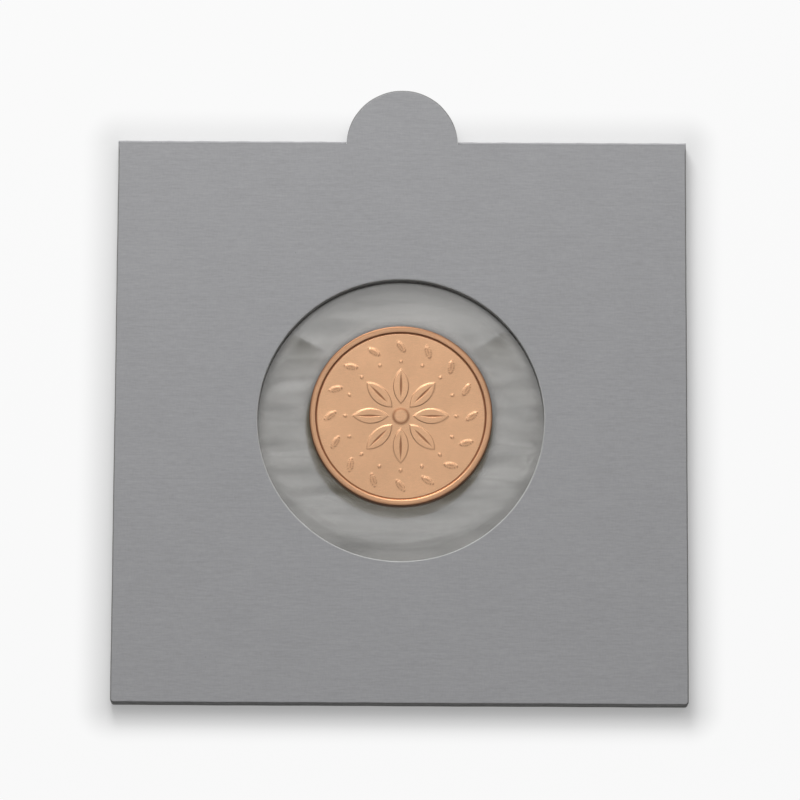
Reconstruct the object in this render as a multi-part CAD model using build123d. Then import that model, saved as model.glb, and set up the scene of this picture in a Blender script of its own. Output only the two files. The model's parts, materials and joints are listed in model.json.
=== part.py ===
from build123d import *
import os

# Self-adhesive folded card holder for one small coin, lying on its back panel.
# The fold runs along the top edge (+Y), the free edges point to -Y, and +Z is the viewing side.
# The origin is the middle of the square body on the plane that the back panel rests on.

# Card blank
holder_side = 50.0  # width, and height from the free edge to the outside of the fold
card_thickness = 0.70
free_corner_radius = 0.35
window_diameter = 25.0
window_edge_ease = 0.12  # rim that the punch draws in on the outer face

# Fold line and the thumb tab that is cut across it
fold_bulge = 0.25  # how far the folded edge stands out past the score line
fold_round = 0.20
score_gap = 0.02  # from the score line to each panel's edge
tab_radius = 4.90
tab_kerf = 0.10  # clearance between the tab and the notch that it leaves

# Clear film on the inside of each panel
film_thickness = 0.05
film_margin = 0.30  # from the panel's edges to the film
film_notch_gap = 0.40  # from the back panel's notch to its film
tent_inset = 0.30  # from the window's wall to where the film starts to rise
tent_lip = 0.15  # flat film round the coin before it slopes down
tent_waist_width = 1.60  # steep band of film beside the coin
tent_waist_drop = 0.30  # how far the film falls over that band

# Pressure-sensitive adhesive on each film
adhesive_thickness = 0.04
adhesive_margin = 0.60  # from the panel's edges to the adhesive
adhesive_window_gap = 0.75  # from the window's wall to the adhesive
bond_gap = 0.01  # between the two adhesive coats, so that they only touch

# Coin
coin_diameter = 16.0
coin_thickness = 1.10
coin_rise = 0.40  # the coin lies this far above the window's middle
coin_slack = 0.03  # between the coin and each film
rim_width = 0.50
rim_bevel = 0.12  # eased outer corner of the rim
rim_draft = 0.12
field_depth = 0.14  # from the rim's crest to the field
relief_height = 0.08

# Ornament on the coin's two faces
border_gap = 0.55  # from the rim to the border leaves
leaf_count = 16
leaf_length = 1.30
leaf_width = 0.46
leaf_tilt = 38.0
petal_count = 8
petal_reach = 4.20
petal_root = 1.10
petal_width = 1.35
boss_radius = 0.75
laurel_count = 22
laurel_ring_width = 0.20
laurel_ring_gap = 0.35  # from the leaves to the ring inside them

# Levels and outlines that follow from the sizes above
half_side = holder_side / 2
score_y = half_side - fold_bulge
window_radius = window_diameter / 2
layer_thickness = card_thickness + film_thickness + adhesive_thickness
mid_z = layer_thickness + bond_gap / 2
holder_thickness = 2 * mid_z
notch_radius = tab_radius + tab_kerf
coin_radius = coin_diameter / 2
field_radius = coin_radius - rim_width - rim_draft
border_radius = field_radius - border_gap - leaf_length / 2
laurel_ring_radius = border_radius - leaf_length / 2 - laurel_ring_gap


def panel_sketch(margin=0.0):
    """Outline of one panel from the free edge to the score line, drawn in by a margin."""
    low = margin - half_side
    high = score_y - max(margin, score_gap)
    wide = holder_side - 2 * margin
    return Pos(0, (low + high) / 2) * Rectangle(wide, high - low)


def card_sketch():
    """One card panel with its free corners eased and its window punched."""
    panel = panel_sketch()
    panel = fillet(panel.vertices().sort_by(Axis.Y)[:2], free_corner_radius)
    return panel - Circle(window_radius)


def at_score(radius):
    """A disc centred where the tab meets the score line."""
    return Pos(0, score_y) * Circle(radius)


def to_back(solid):
    """Turns a front piece into its back twin across the plane between the coats."""
    return mirror(solid, about=Plane.XY.offset(mid_z))


def soften_window(card, outer_side):
    """Eases the window's rim on the card's outer face."""
    faces = card.faces().filter_by(Axis.Z).sort_by(Axis.Z)
    rim = faces[outer_side].inner_wires()[0].edges()
    return chamfer(rim, min(window_edge_ease, 0.45 * card_thickness))


def front_card():
    """Front panel with its window and the thumb tab that stays on it."""
    card = extrude(card_sketch() + at_score(tab_radius), card_thickness)
    card = Pos(0, 0, holder_thickness - card_thickness) * card
    return soften_window(card, -1)


def back_card():
    """Back panel with its window and the half-moon notch that the tab was cut from."""
    card = extrude(card_sketch() - at_score(notch_radius), card_thickness)
    return soften_window(card, 0)


def fold_crease():
    """Folded strip of the card on each side of the tab, with rolled outer corners."""
    strip = Pos(score_y + fold_bulge / 2, mid_z) * Rectangle(fold_bulge, holder_thickness)
    outer = strip.vertices().sort_by(Axis.X)[-2:]
    strip = fillet(outer, min(fold_round, 0.9 * fold_bulge))
    run = half_side - notch_radius
    right = extrude(Plane.YZ.offset(notch_radius) * strip, run)
    return right + mirror(right, about=Plane.YZ)


def tent_solid(rise):
    """Film's outer envelope over the coin: a steep band at the rim, then a long slope to the window."""
    crown_radius = coin_radius + tent_lip
    waist_radius = crown_radius + tent_waist_width
    foot_radius = window_radius - tent_inset
    waist_share = (foot_radius - waist_radius) / (foot_radius - crown_radius)
    foot = Circle(foot_radius)
    waist = Pos(0, coin_rise * waist_share, rise - tent_waist_drop) * Circle(waist_radius)
    crown = Pos(0, coin_rise, rise) * Circle(crown_radius)
    return loft([foot, waist, crown], ruled=True)


def front_film():
    """Clear sheet under the front panel, lifted over the coin inside the window."""
    base = mid_z + bond_gap / 2 + adhesive_thickness
    crest = mid_z + coin_thickness / 2 + coin_slack + film_thickness
    tent = tent_solid(crest - base)
    sheet = extrude(panel_sketch(film_margin), film_thickness)
    return Pos(0, 0, base) * (sheet + tent - Pos(0, 0, -film_thickness) * tent)


def back_film():
    """Twin of the front film, cut back round the notch."""
    room = extrude(at_score(notch_radius + film_notch_gap), holder_thickness)
    return to_back(front_film()) - room


def front_adhesive():
    """Adhesive coat on the front film, kept clear of the window."""
    frame = panel_sketch(adhesive_margin) - Circle(window_radius + adhesive_window_gap)
    return Pos(0, 0, mid_z + bond_gap / 2) * extrude(frame, adhesive_thickness)


def back_adhesive():
    """Adhesive coat on the back film, kept clear of the window and the notch."""
    room = extrude(at_score(notch_radius + film_notch_gap), holder_thickness)
    return to_back(front_adhesive()) - room


def lens_sketch(length, width):
    """Pointed leaf between two equal arcs, along X."""
    arc_radius = (length**2 + width**2) / (4 * width)
    offset = arc_radius - width / 2
    return Pos(0, offset) * Circle(arc_radius) & Pos(0, -offset) * Circle(arc_radius)


def around(count):
    """Turns about the coin's axis, evenly spaced."""
    return [Rot(0, 0, 360 / count * i) for i in range(count)]


def raised(sketch):
    """Relief that stands on the field, with its foot in the coin's body."""
    return Pos(0, 0, coin_thickness / 2 - 2 * field_depth) * extrude(sketch, field_depth + relief_height)


def leaf_border(count):
    """Ring of tilted leaves inside the rim."""
    leaf = Pos(border_radius) * Rot(0, 0, leaf_tilt) * lens_sketch(leaf_length, leaf_width)
    return [raised(turn * leaf) for turn in around(count)]


def rosette():
    """Flower of pointed petals round a boss."""
    petal = Pos((petal_root + petal_reach) / 2) * lens_sketch(petal_reach - petal_root, petal_width)
    return [raised(turn * petal) for turn in around(petal_count)] + [raised(Circle(boss_radius))]


def laurel_ring():
    """Plain ring inside the leaves of the back face."""
    inner = laurel_ring_radius - laurel_ring_width
    return [raised(Circle(laurel_ring_radius) - Circle(inner))]


def coin_blank():
    """Round blank with a raised rim on both faces."""
    crest = coin_thickness / 2
    field = crest - field_depth
    rim_foot = coin_radius - rim_width
    upper = [(0, field), (field_radius, field), (rim_foot, crest), (coin_radius, crest)]
    lower = [(x, -z) for x, z in reversed(upper)]
    profile = make_face(Plane.XZ * Polyline(*upper, *lower, close=True))
    outer = profile.vertices().sort_by(Axis.X)[-2:]
    profile = chamfer(outer, min(rim_bevel, 0.4 * rim_width))
    return revolve(profile, Axis.Z)


def coin():
    """Struck coin: rosette and border on the front, laurel ring on the back."""
    face_front = rosette() + leaf_border(leaf_count)
    face_back = leaf_border(laurel_count) + laurel_ring()
    turn_over = Rot(180, 0, 0)
    struck = coin_blank() + face_front + [turn_over * piece for piece in face_back]
    return Pos(0, coin_rise, mid_z) * struck


nodes = {
    "front_card": front_card(),
    "back_card": back_card(),
    "fold_crease": fold_crease(),
    "front_film": front_film(),
    "back_film": back_film(),
    "front_adhesive": front_adhesive(),
    "back_adhesive": back_adhesive(),
    "coin": coin(),
}

os.makedirs("parts", exist_ok=True)
for name, shape in nodes.items():
    export_step(shape, f"parts/{name}.step")
    print(name, round(shape.volume, 3))
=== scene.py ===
import json
import logging
import math
from dataclasses import dataclass
from enum import Enum, IntEnum
from typing import Callable, Iterable, Sequence, Union

import bpy
import numpy as np
from mathutils import Matrix, Vector
from mathutils.geometry import tessellate_polygon


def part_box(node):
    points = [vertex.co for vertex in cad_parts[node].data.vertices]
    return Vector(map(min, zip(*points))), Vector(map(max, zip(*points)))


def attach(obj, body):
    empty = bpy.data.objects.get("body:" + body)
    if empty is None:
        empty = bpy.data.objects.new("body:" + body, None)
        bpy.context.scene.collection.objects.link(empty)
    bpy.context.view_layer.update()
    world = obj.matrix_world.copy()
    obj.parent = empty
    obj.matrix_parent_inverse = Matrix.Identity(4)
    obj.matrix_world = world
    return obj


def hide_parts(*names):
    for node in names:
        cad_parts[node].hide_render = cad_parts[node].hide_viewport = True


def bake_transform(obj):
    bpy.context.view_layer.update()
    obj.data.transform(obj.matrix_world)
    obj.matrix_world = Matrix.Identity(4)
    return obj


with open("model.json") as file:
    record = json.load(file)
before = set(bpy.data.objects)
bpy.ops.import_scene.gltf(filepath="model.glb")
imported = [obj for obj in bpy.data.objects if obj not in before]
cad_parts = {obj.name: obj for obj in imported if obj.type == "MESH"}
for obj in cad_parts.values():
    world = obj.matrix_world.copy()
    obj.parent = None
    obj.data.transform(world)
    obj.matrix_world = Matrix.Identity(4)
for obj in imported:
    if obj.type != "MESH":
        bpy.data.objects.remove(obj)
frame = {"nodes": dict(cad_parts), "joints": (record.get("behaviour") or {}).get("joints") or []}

LOG = logging.getLogger("coin_flip")
MM = 0.001
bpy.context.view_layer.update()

Rgb = tuple[float, float, float]
Spot = tuple[float, float]
Triple = tuple[float, float, float]
Ramp = tuple[float, float, float, float]
Number = Union["Signal", float]
Face = tuple[int, ...]
Node, Socket, Piece, Material = bpy.types.Node, bpy.types.NodeSocket, bpy.types.Object, bpy.types.Material


class Side(Enum):
    """The two halves of the folded card."""

    FRONT = "front"
    BACK = "back"

    @property
    def body(self) -> str:
        """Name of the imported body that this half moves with."""
        return f"{self.value}_half"

    @property
    def up(self) -> float:
        """Sign of Z from the plane between the halves to this half's outer face."""
        return 1.0 if self is Side.FRONT else -1.0


class Skin(IntEnum):
    """Finishes of the card, by their place in a piece's list of materials."""

    FACE = 0
    CUT = 1
    # ROLL and WALL are darker tones of the cut pulp on the outline's rolled edge and wall: painted shade.
    ROLL = 2
    WALL = 3


@dataclass(frozen=True)
class Grain:
    """One layer of noise: size of a grain along X, Y and Z in millimetres, finer layers and their weight."""

    size: Triple
    detail: float = 2.0
    rough: float = 0.5


class Bench:
    """A node tree on the bench, with short ways to add nodes and join them."""

    def __init__(self, tree: bpy.types.NodeTree) -> None:
        """Takes the tree that nodes are added to."""
        self.tree = tree

    def add(self, kind: str, feeds: dict[str, object] | None = None, **settings: object) -> Node:
        """Adds one node.

        Args:
            kind: Blender's name for the node type.
            feeds: values or sockets for its inputs, by identifier or name.
            settings: the node's own options.

        Returns:
            The new node.
        """
        node = self.tree.nodes.new(kind)
        for name, value in settings.items():
            setattr(node, name, value)
        for name, value in (feeds or {}).items():
            self.feed(self.find(node.inputs, name), value)
        return node

    @staticmethod
    def find(sockets: Iterable[Socket], name: str) -> Socket:
        """The first socket with this identifier, or else the first with this name."""
        by_identifier = [socket for socket in sockets if socket.identifier == name]
        return (by_identifier + [socket for socket in sockets if socket.name == name])[0]

    def feed(self, socket: Socket, value: object) -> None:
        """Joins something to an input, or sets the input's value.

        Args:
            socket: the input.
            value: a Signal, a socket, a node with one main output, or a plain value.
        """
        if isinstance(value, Signal):
            value = value.socket
        if isinstance(value, Node):
            value = value.outputs[0]
        if isinstance(value, Socket):
            self.tree.links.new(value, socket)
        else:
            socket.default_value = value

    def signal(self, node: Node, name: str) -> "Signal":
        """A node's output as a signal."""
        return Signal(self, self.find(node.outputs, name))

    def math(self, operation: str, *values: Number) -> "Signal":
        """Adds one Math node.

        Args:
            operation: Blender's name for the operation.
            values: its operands, in order.

        Returns:
            The result.
        """
        node = self.add("ShaderNodeMath", operation=operation)
        for socket, value in zip(node.inputs, values):
            self.feed(socket, value)
        return Signal(self, node.outputs[0])

    def ramp(self, value: Number, start: float, end: Number, low: Number = 0.0,
             high: Number = 1.0) -> "Signal":
        """Smooth step of a value.

        Args:
            value: what is read.
            start: where the result is low.
            end: where the result is high.
            low: result at the start.
            high: result at the end.

        Returns:
            The stepped value.
        """
        feeds = {"Value": value, "From Min": start, "From Max": end, "To Min": low, "To Max": high}
        return self.signal(self.add("ShaderNodeMapRange", feeds, interpolation_type="SMOOTHSTEP"), "Result")

    def split(self, vector: object) -> tuple["Signal", "Signal", "Signal"]:
        """The three parts of a vector, as signals."""
        node = self.add("ShaderNodeSeparateXYZ", {"Vector": vector})
        return tuple(Signal(self, socket) for socket in node.outputs)

    def joined(self, x: Number = 0.0, y: Number = 0.0, z: Number = 0.0) -> Node:
        """A vector of three parts."""
        return self.add("ShaderNodeCombineXYZ", {"X": x, "Y": y, "Z": z})

    def vector(self, operation: str, first: object, second: object) -> Node:
        """Adds one Vector Math node on two vectors."""
        return self.add("ShaderNodeVectorMath", {"Vector": first, "Vector_001": second}, operation=operation)

    def scaled(self, vector: object, factor: Number) -> Node:
        """A vector or a colour times a factor."""
        return self.add("ShaderNodeVectorMath", {"Vector": vector, "Scale": factor}, operation="SCALE")

    def noise(self, place: object, grain: Grain) -> "Signal":
        """Noise that is centred on zero, about -1 to 1.

        Args:
            place: position in metres.
            grain: size and fineness of the noise.

        Returns:
            The noise.
        """
        grid = self.vector("MULTIPLY", place, tuple(1.0 / (length * MM) for length in grain.size))
        feeds = {"Vector": grid, "Scale": 1.0, "Detail": grain.detail, "Roughness": grain.rough}
        node = self.add("ShaderNodeTexNoise", feeds, noise_dimensions="3D")
        return (self.signal(node, "Fac") - 0.5) * 2.0


def operator(operation: str, swapped: bool = False) -> Callable[..., "Signal"]:
    """Makes one of a signal's operators out of a Math node.

    Args:
        operation: Blender's name for the operation.
        swapped: whether the signal is the last operand.

    Returns:
        The operator.
    """

    def reckon(self: "Signal", *others: Number) -> "Signal":
        """The result of the operation on the signal and what stands beside it."""
        operands = (*others, self) if swapped else (self, *others)
        return self.bench.math(operation, *operands)

    return reckon


class Signal:
    """A number in a node tree that is reckoned with like a plain number."""

    def __init__(self, bench: Bench, socket: Socket) -> None:
        """Takes the bench and the socket that gives the number."""
        self.bench = bench
        self.socket = socket

    __add__ = operator("ADD")
    __radd__ = operator("ADD", swapped=True)
    __sub__ = operator("SUBTRACT")
    __rsub__ = operator("SUBTRACT", swapped=True)
    __mul__ = operator("MULTIPLY")
    __rmul__ = operator("MULTIPLY", swapped=True)
    __truediv__ = operator("DIVIDE")
    __abs__ = operator("ABSOLUTE")
    most = operator("MAXIMUM")
    least = operator("MINIMUM")

    def hypot(self, other: "Signal") -> "Signal":
        """Length of the hypotenuse over two sides."""
        return self.bench.math("SQRT", self * self + other * other)


class SurfaceBench(Bench):
    """Bench of a material, with the position on the piece at hand."""

    def __init__(self, tree: bpy.types.NodeTree) -> None:
        """Takes the material's tree and empties it.

        Args:
            tree: the material's tree.
        """
        tree.nodes.clear()
        super().__init__(tree)
        self.place = self.add("ShaderNodeTexCoord").outputs["Object"]

    def grain(self, grain: Grain) -> Signal:
        """Noise that is fixed to the piece."""
        return self.noise(self.place, grain)

    def attribute(self, name: str) -> Signal:
        """A number that the piece's mesh stores at its points."""
        return self.signal(self.add("ShaderNodeAttribute", attribute_name=name), "Fac")

    def blend(self, first: Rgb, second: Rgb, share: Signal, level: Number = 1.0) -> Node:
        """Turns one colour into another over the surface.

        Args:
            first: colour at share 0.
            second: colour at share 1.
            share: weight of the second colour.
            level: factor on the first colour.

        Returns:
            The node that gives the colour.
        """
        return self.vector("ADD", self.scaled(first, (1.0 - share) * level), self.scaled(second, share))

    def bump(self, height: Signal) -> Node:
        """Normal of a surface with this fine height, in metres."""
        return self.add("ShaderNodeBump", {"Height": height, "Strength": 1.0, "Distance": 1.0})

    def paint(self, colour: Node, rough: Signal, height: Signal, more: dict[str, float]) -> Node:
        """Plain surface with a fine bump."""
        feeds = {"Base Color": colour, "Roughness": rough, "Normal": self.bump(height)}
        return self.add("ShaderNodeBsdfPrincipled", feeds | more)

    def mix(self, share: Number, first: Node, second: Node) -> Node:
        """Mixes two shaders.

        Args:
            share: weight of the second shader.
            first: shader at weight 0.
            second: shader at weight 1.

        Returns:
            The mixing node.
        """
        node = self.add("ShaderNodeMixShader")
        for socket, value in zip(node.inputs, (share, first, second)):
            self.feed(socket, value)
        return node


@dataclass(frozen=True)
class Finish:
    """What all finishes share: a name, and a material that ends in their shader."""

    name: str

    def shader(self, bench: SurfaceBench) -> Node:
        """The finish's own shader."""
        raise NotImplementedError

    def build(self) -> Material:
        """Makes the material.

        Returns:
            The material.
        """
        material = bpy.data.materials.new(self.name)
        material.use_nodes = True
        bench = SurfaceBench(material.node_tree)
        bench.add("ShaderNodeOutputMaterial", {"Surface": self.shader(bench)})
        return material


@dataclass(frozen=True)
class BoardFace(Finish):
    """Matt grey board: fine streaked grain, faint clouds and a few dark specks."""

    name: str = "board_face"
    tone: Rgb = (0.300, 0.300, 0.308)
    along_grain: Grain = Grain((0.85, 0.15, 0.4), 3.0, 0.6)
    cross_grain: Grain = Grain((0.14, 0.60, 0.4))
    cross_share: float = 0.3
    grain_depth: float = 0.20
    long_streak: Grain = Grain((3.2, 0.32, 0.8))
    streak_depth: float = 0.07
    cloud: Grain = Grain((5.0, 4.0, 4.0))
    cloud_depth: float = 0.035
    speck_spacing: float = 2.4 * MM
    speck_radius: float = 0.075 * MM
    speck_core: float = 0.4
    speck_share: float = 0.22
    speck_depth: float = 0.22
    roughness: float = 0.80
    roughness_spread: float = 0.08
    gloss: float = 0.30
    bump_depth: float = 0.006 * MM

    def shader(self, bench: SurfaceBench) -> Node:
        """Joins the grain, the streaks, the clouds and the specks.

        Args:
            bench: the material's bench.

        Returns:
            The shader.
        """
        along, across = bench.grain(self.along_grain), bench.grain(self.cross_grain)
        grain = along * (1.0 - self.cross_share) + across * self.cross_share
        level = 1.0 + grain * self.grain_depth + bench.grain(self.long_streak) * self.streak_depth
        level = level + bench.grain(self.cloud) * self.cloud_depth - self.specks(bench) * self.speck_depth
        rough = self.roughness + grain * self.roughness_spread
        colour = bench.scaled(self.tone, level)
        return bench.paint(colour, rough, grain * self.bump_depth, {"Specular IOR Level": self.gloss})

    def specks(self, bench: SurfaceBench) -> Signal:
        """Rare dark fibres in the pulp.

        Args:
            bench: the material's bench.

        Returns:
            1 in the middle of a speck and 0 elsewhere.
        """
        scale = 1.0 / self.speck_spacing
        feeds = {"Vector": bench.place, "Scale": scale}
        cells = bench.add("ShaderNodeTexVoronoi", feeds, voronoi_dimensions="3D")
        lot = bench.split(cells.outputs["Color"])[0]
        size = self.speck_radius * scale
        dot = bench.ramp(bench.signal(cells, "Distance"), size, self.speck_core * size)
        return dot * bench.math("LESS_THAN", lot, self.speck_share)


@dataclass(frozen=True)
class BoardCore(Finish):
    """Cut edge of the board: open pulp in thin layers."""

    name: str = "board_core"
    tone: Rgb = (0.42, 0.42, 0.415)
    layer: Grain = Grain((0.9, 0.9, 0.09))
    tuft: Grain = Grain((0.16, 0.16, 0.12), 3.0, 0.6)
    tuft_share: float = 0.4
    pulp_depth: float = 0.30
    roughness: float = 0.9
    roughness_spread: float = 0.08
    gloss: float = 0.2
    bump_depth: float = 0.025 * MM

    def shader(self, bench: SurfaceBench) -> Node:
        """Joins the layers and the tufts of the pulp.

        Args:
            bench: the material's bench.

        Returns:
            The shader.
        """
        layers, tufts = bench.grain(self.layer), bench.grain(self.tuft)
        pulp = layers * (1.0 - self.tuft_share) + tufts * self.tuft_share
        rough = self.roughness + pulp * self.roughness_spread
        colour = bench.scaled(self.tone, 1.0 + pulp * self.pulp_depth)
        return bench.paint(colour, rough, pulp * self.bump_depth, {"Specular IOR Level": self.gloss})


@dataclass(frozen=True)
class ClearFilm(Finish):
    """Thin clear film: faint grey tint, a glossy surface that is not quite flat, and a streaked haze.

    The mesh stores where the film is hazy and where a shadow of the coin and two dark wedges are painted on
    it.
    """

    name: str = "clear_film"
    tint: Rgb = (0.955, 0.954, 0.950)
    # Colour of the painted shadow under the coin and of the painted dark wedges, warm with a painted
    # reflection of the copper.
    shade_tone: Rgb = (0.370, 0.325, 0.210)
    shade_mask: str = "film_shade"
    haze_tone: Rgb = (0.78, 0.77, 0.75)
    haze: float = 0.090
    # How hazy the film is. It is cut back under the coin and at two wedges, as painted shade.
    haze_mask_with_painted_shade: str = "film_haze"
    haze_band: Grain = Grain((9.0, 2.0, 0.6), 0.0)
    band_depth: float = 1.2
    haze_line: Grain = Grain((6.0, 0.8, 0.5), 1.0)
    line_depth: float = 0.9
    facing_gloss: float = 0.036
    grazing_power: float = 5.0
    roughness: float = 0.14
    ripple: Grain = Grain((4.0, 0.40, 3.0), 1.0, 0.45)
    ripple_depth: float = 0.004 * MM
    calm_span: Spot = (9.0 * MM, 6.5 * MM)
    calm: float = 0.2

    def shader(self, bench: SurfaceBench) -> Node:
        """Joins the clear sheet, its gloss and its haze.

        Args:
            bench: the material's bench.

        Returns:
            The shader.
        """
        calm = bench.ramp(bench.split(bench.place)[1], *self.calm_span, self.calm, 1.0)
        bump = bench.bump(bench.grain(self.ripple) * calm * self.ripple_depth)
        edge = bench.signal(bench.add("ShaderNodeLayerWeight", {"Blend": 0.5}), "Facing")
        gloss = self.facing_gloss + bench.math("POWER", edge, self.grazing_power) * (1.0 - self.facing_gloss)
        seen = bench.blend(self.tint, self.shade_tone, bench.attribute(self.shade_mask))
        clear = bench.add("ShaderNodeBsdfTransparent", {"Color": seen})
        shine = bench.add("ShaderNodeBsdfGlossy", {"Roughness": self.roughness, "Normal": bump})
        veil = bench.add("ShaderNodeBsdfDiffuse", {"Color": (*self.haze_tone, 1.0)})
        bands, lines = bench.grain(self.haze_band), bench.grain(self.haze_line)
        streaks = (1.0 + (self.band_depth * bands + self.line_depth * lines)).most(0.0)
        haze = self.haze * bench.attribute(self.haze_mask_with_painted_shade) * streaks
        return bench.mix(haze, bench.mix(gloss, clear, shine), veil)


@dataclass(frozen=True)
class TackyCoat(Finish):
    """Pressure-sensitive coat on the film: clear, faintly yellow and finely orange-peeled."""

    name: str = "tacky_coat"
    tone: Rgb = (0.60, 0.58, 0.50)
    alpha: float = 0.30
    peel: Grain = Grain((0.35, 0.35, 0.35))
    swirl: Grain = Grain((6.0, 2.0, 4.0))
    swirl_depth: float = 0.10
    roughness: float = 0.26
    roughness_spread: float = 0.08
    bump_depth: float = 0.006 * MM

    def shader(self, bench: SurfaceBench) -> Node:
        """Joins the peel and the swirls of the coat.

        Args:
            bench: the material's bench.

        Returns:
            The shader.
        """
        peel, swirl = bench.grain(self.peel), bench.grain(self.swirl)
        colour = bench.scaled(self.tone, 1.0 + swirl * self.swirl_depth)
        rough = self.roughness + peel * self.roughness_spread
        return bench.paint(colour, rough, peel * self.bump_depth, {"Alpha": self.alpha})


@dataclass(frozen=True)
class StruckCopper(Finish):
    """Bright struck copper colour with fine flow lines and a soft bloom, darker at the relief edges, the
    groove, the rim and the wall: tarnish, with painted shade on the relief edges and the wall.
    """

    name: str = "struck_copper"
    tone: Rgb = (0.905, 0.545, 0.325)
    # Dark colour of the tarnish and of the painted shade on the relief edges and the side wall.
    tarnish_and_shade: Rgb = (0.240, 0.070, 0.020)
    tarnish_shade_mask: str = "relief_edge"
    flow: Grain = Grain((0.5, 0.10, 0.3), 3.0, 0.6)
    flow_depth: float = 0.10
    bloom: Grain = Grain((2.6, 2.2, 2.2), 3.0)
    bloom_depth: float = 0.06
    roughness: float = 0.42
    bloom_spread: float = 0.04
    flow_spread: float = 0.05
    bump_depth: float = 0.0012 * MM

    def shader(self, bench: SurfaceBench) -> Node:
        """Joins the flow lines, the bloom, and the tarnish and painted shade.

        Args:
            bench: the material's bench.

        Returns:
            The shader.
        """
        flow, bloom = bench.grain(self.flow), bench.grain(self.bloom)
        level = 1.0 + bloom * self.bloom_depth + flow * self.flow_depth
        colour = bench.blend(self.tone, self.tarnish_and_shade, bench.attribute(self.tarnish_shade_mask), level)
        rough = self.roughness + bloom * self.bloom_spread + flow * self.flow_spread
        return bench.paint(colour, rough, flow * self.bump_depth, {"Metallic": 1.0})


@dataclass(frozen=True)
class StudioFloor(Finish):
    """Plain pale table that keeps the part's shadow and is seen white further out."""

    name: str = "table_white"
    tone: Rgb = (0.66, 0.66, 0.66)
    seen_white: float = 0.97
    near_share: float = 0.28
    far_share: float = 0.94
    part_half: float = 25.0 * MM
    shadow_reach: float = 3.5 * MM

    def shader(self, bench: SurfaceBench) -> Node:
        """Joins the lit table and the white that the camera sees.

        Args:
            bench: the material's bench.

        Returns:
            The shader.
        """
        lit = bench.add("ShaderNodeBsdfDiffuse", {"Color": (*self.tone, 1.0)})
        white = bench.add("ShaderNodeEmission", {"Strength": self.seen_white})
        path = bench.add("ShaderNodeLightPath")
        seen = bench.signal(path, "Is Camera Ray")
        for ray in ("Is Glossy Ray", "Is Transmission Ray"):
            seen = seen.most(bench.signal(path, ray))
        aside, along = ((abs(way) - self.part_half).most(0.0) for way in bench.split(bench.place)[:2])
        share = bench.ramp(aside.hypot(along), 0.0, self.shadow_reach, self.near_share, self.far_share)
        return bench.mix(seen * share, lit, white)


class Finishes:
    """Every material of the part, made once."""

    def __init__(self) -> None:
        """Builds the materials."""
        self.board = {
            Skin.FACE: BoardFace().build(),
            Skin.CUT: BoardCore().build(),
            # The outline's rolled edge and wall are toned darker than the window's cut: painted shade,
            # darkest on the rolled edge.
            Skin.ROLL: BoardCore("board_edge", tone=(0.205, 0.204, 0.201)).build(),
            Skin.WALL: BoardCore("board_wall", tone=(0.300, 0.299, 0.296)).build(),
        }
        # The back film has a darker grey tint and less haze, which dims the table seen through the window.
        # It alone carries the painted shadow and the painted wedges.
        dim_back = ClearFilm("worn_film", tint=(0.745, 0.743, 0.737), haze=0.060)
        self.films = {Side.FRONT: ClearFilm().build(), Side.BACK: dim_back.build()}
        self.tacky = TackyCoat().build()
        self.copper = StruckCopper().build()
        self.floor = StudioFloor().build()


@dataclass(frozen=True)
class Layout:
    """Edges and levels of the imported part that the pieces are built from, in metres."""

    half_side: float
    fold_edge_y: float
    score_y: float
    mid_z: float
    thickness: float
    card: float
    tab_radius: float
    film_low: Vector
    film_high: Vector
    coin_low: Vector
    coin_high: Vector
    free_corner: float = 0.35 * MM
    window_radius: float = 12.5 * MM
    tab_kerf: float = 0.10 * MM
    film_notch_gap: float = 0.40 * MM

    @classmethod
    def read(cls) -> "Layout":
        """Reads the frame.

        Returns:
            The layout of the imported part.
        """
        hinge = next(joint for joint in frame["joints"] if joint["name"] == "fold_open")
        front_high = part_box("front_card")[1]
        back_low, back_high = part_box("back_card")
        film_low, film_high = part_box("front_film")
        coin_low, coin_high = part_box("coin")
        return cls(
            half_side=front_high.x,
            fold_edge_y=back_high.y,
            score_y=hinge["pos_m"][1],
            mid_z=hinge["pos_m"][2],
            thickness=front_high.z - back_low.z,
            card=back_high.z - back_low.z,
            tab_radius=front_high.y - hinge["pos_m"][1],
            film_low=film_low,
            film_high=film_high,
            coin_low=coin_low,
            coin_high=coin_high,
        )

    @property
    def notch_radius(self) -> float:
        """Radius of the half-moon that the tab was cut from."""
        return self.tab_radius + self.tab_kerf

    @property
    def coin_centre(self) -> Vector:
        """Middle of the coin."""
        return (self.coin_low + self.coin_high) / 2

    @property
    def coin_radius(self) -> float:
        """Radius of the coin."""
        return (self.coin_high.x - self.coin_low.x) / 2


def quarter_turn(steps: int) -> list[float]:
    """Angles of a quarter turn in equal steps, with both ends."""
    return [0.5 * math.pi * i / steps for i in range(steps + 1)]


def uneven(travel: np.ndarray | float, waves: Sequence[Triple]) -> np.ndarray | float:
    """Sum of waves about one half, each with its share, its rate and its start."""
    return sum((share * np.sin(travel * rate + start) for share, rate, start in waves), 0.5)


def circle(radius: float, count: int) -> np.ndarray:
    """Rows of X and Y round a circle about the origin, counter-clockwise."""
    turn = np.linspace(0.0, 2 * math.pi, count, endpoint=False)
    return np.column_stack([radius * np.cos(turn), radius * np.sin(turn)])


def flipped(faces: list[Face]) -> list[Face]:
    """The same faces turned to their other side."""
    return [face[::-1] for face in faces]


def ring_faces(first: int, second: int, count: int) -> list[Face]:
    """Quads between two closed rings of points.

    Args:
        first: index of the lower ring's first point.
        second: index of the upper ring's first point.
        count: points in each ring.

    Returns:
        The faces.
    """
    step = [(i, (i + 1) % count) for i in range(count)]
    return [(first + i, first + j, second + j, second + i) for i, j in step]


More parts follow.
